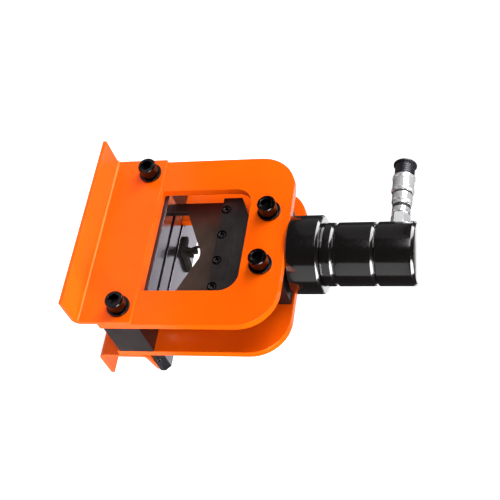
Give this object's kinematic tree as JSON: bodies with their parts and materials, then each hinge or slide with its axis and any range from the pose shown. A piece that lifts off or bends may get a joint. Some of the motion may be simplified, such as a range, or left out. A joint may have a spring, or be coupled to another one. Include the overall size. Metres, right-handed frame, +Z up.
{
  "type": "hydraulic busbar cutter",
  "caption": "Ram-driven shear for copper busbar: two windowed side plates on bent feet, V blade in a slotted block, gloss black cylinder with hose coupling, rear table with clamp.",
  "frame": {"origin": "on the floor, under the middle of the whole machine's box", "axes": "+Z up along the ram's axis, X along the blades with the hose coupling towards -X, +Y from the front plate to the work table at the back"},
  "size_m": [0.262, 0.1854, 0.4155],
  "materials": {
    "orange_paint": "glossy sprayed enamel",
    "dark_steel": "blackened machined steel",
    "ground_steel": "surface ground",
    "tool_steel": "hardened, tempered brown-gray",
    "plain_steel": "turned",
    "spring_steel": "oiled",
    "chrome": "hard chrome, polished",
    "zinc_plate": "bright zinc",
    "gloss_black": "high gloss",
    "bronze": "turned",
    "rubber": "matt",
    "black_plastic": "moulded",
    "black_oxide": "black oxide"
  },
  "bodies": {
    "frame": {"front_plate": "orange_paint", "back_plate": "orange_paint", "front_foot": "orange_paint", "back_foot": "orange_paint", "lower_block": "dark_steel", "head_block": "dark_steel", "fixed_blade_front": "ground_steel", "fixed_blade_back": "ground_steel", "work_table": "ground_steel", "spring_seat": "plain_steel", "poppet_spring": "plain_steel", "return_spring": "spring_steel", "port_adaptor": "zinc_plate", "coupling_body": "zinc_plate", "cylinder_collar": "gloss_black", "cylinder_barrel": "gloss_black", "end_cap": "gloss_black", "gland_bush": "bronze", "rod_seal": "rubber", "rod_wiper": "rubber", "fixed_blade_screw_1": "black_oxide", "fixed_blade_screw_2": "black_oxide", "fixed_blade_screw_3": "black_oxide", "fixed_blade_screw_4": "black_oxide", "lower_bolt_1": "black_oxide", "lower_bolt_2": "black_oxide", "upper_bolt_1": "black_oxide", "upper_bolt_2": "black_oxide", "lower_washer_1": "black_oxide", "lower_washer_2": "black_oxide", "upper_washer_1": "black_oxide", "upper_washer_2": "black_oxide", "nut_washer_1": "black_oxide", "nut_washer_2": "black_oxide", "upper_nut_1": "black_oxide", "upper_nut_2": "black_oxide", "table_screw_1": "black_oxide", "table_screw_2": "black_oxide", "table_end_screw": "black_oxide", "clamp_stud": "black_oxide"},
    "ram": {"moving_blade": "tool_steel", "blade_holder": "dark_steel", "blade_screw_1": "black_oxide", "blade_screw_2": "black_oxide", "blade_screw_3": "black_oxide", "blade_screw_4": "black_oxide", "piston_rod": "chrome", "piston": "plain_steel", "piston_seal": "rubber"},
    "screw_sleeve": {"screw_sleeve": "zinc_plate"},
    "poppet": {"coupling_poppet": "plain_steel"},
    "dust_cap": {"dust_cap": "black_plastic"},
    "clamp_washer": {"clamp_washer": "black_oxide"},
    "clamp_strap": {"clamp_strap": "black_oxide"},
    "wing_nut": {"wing_nut": "black_oxide"}
  },
  "joints": [
    {"name": "ram_stroke", "type": "slide", "parent": "frame", "child": "ram", "axis": [0, 0, -1], "range_m": [0, 0.0525], "stiffness_N_per_m": 2000, "springref_m": -0.06, "deforming": ["return_spring"]},
    {"name": "sleeve_turn", "type": "hinge", "parent": "frame", "child": "screw_sleeve", "pos_m": [-0.1, -0.00125, 0.3899], "axis": [-1, 0, 0], "continuous": true},
    {"name": "poppet_press", "type": "slide", "parent": "frame", "child": "poppet", "axis": [1, 0, 0], "range_m": [0, 0.004], "stiffness_N_per_m": 500, "springref_m": -0.004, "deforming": ["poppet_spring"]},
    {"name": "dust_cap_pull", "type": "slide", "parent": "frame", "child": "dust_cap", "axis": [-1, 0, 0], "range_m": [0, 0.03]},
    {"name": "clamp_lift", "type": "slide", "parent": "frame", "child": "clamp_washer", "axis": [0, 0, 1], "range_m": [0, 0.008]},
    {"name": "wing_nut_turn", "type": "hinge", "parent": "clamp_washer", "child": "wing_nut", "pos_m": [-0.033, 0.04775, 0.095], "axis": [0, 0, 1], "range_deg": [0, 2304]},
    {"name": "strap_swing", "type": "hinge", "parent": "clamp_washer", "child": "clamp_strap", "pos_m": [-0.033, 0.04775, 0.095], "axis": [0, 0, 1], "range_deg": [-90, 100]}
  ],
  "couplings": [
    {"joint": "wing_nut_turn", "follows": "clamp_lift", "rad_per_m": 5026.5}
  ]
}
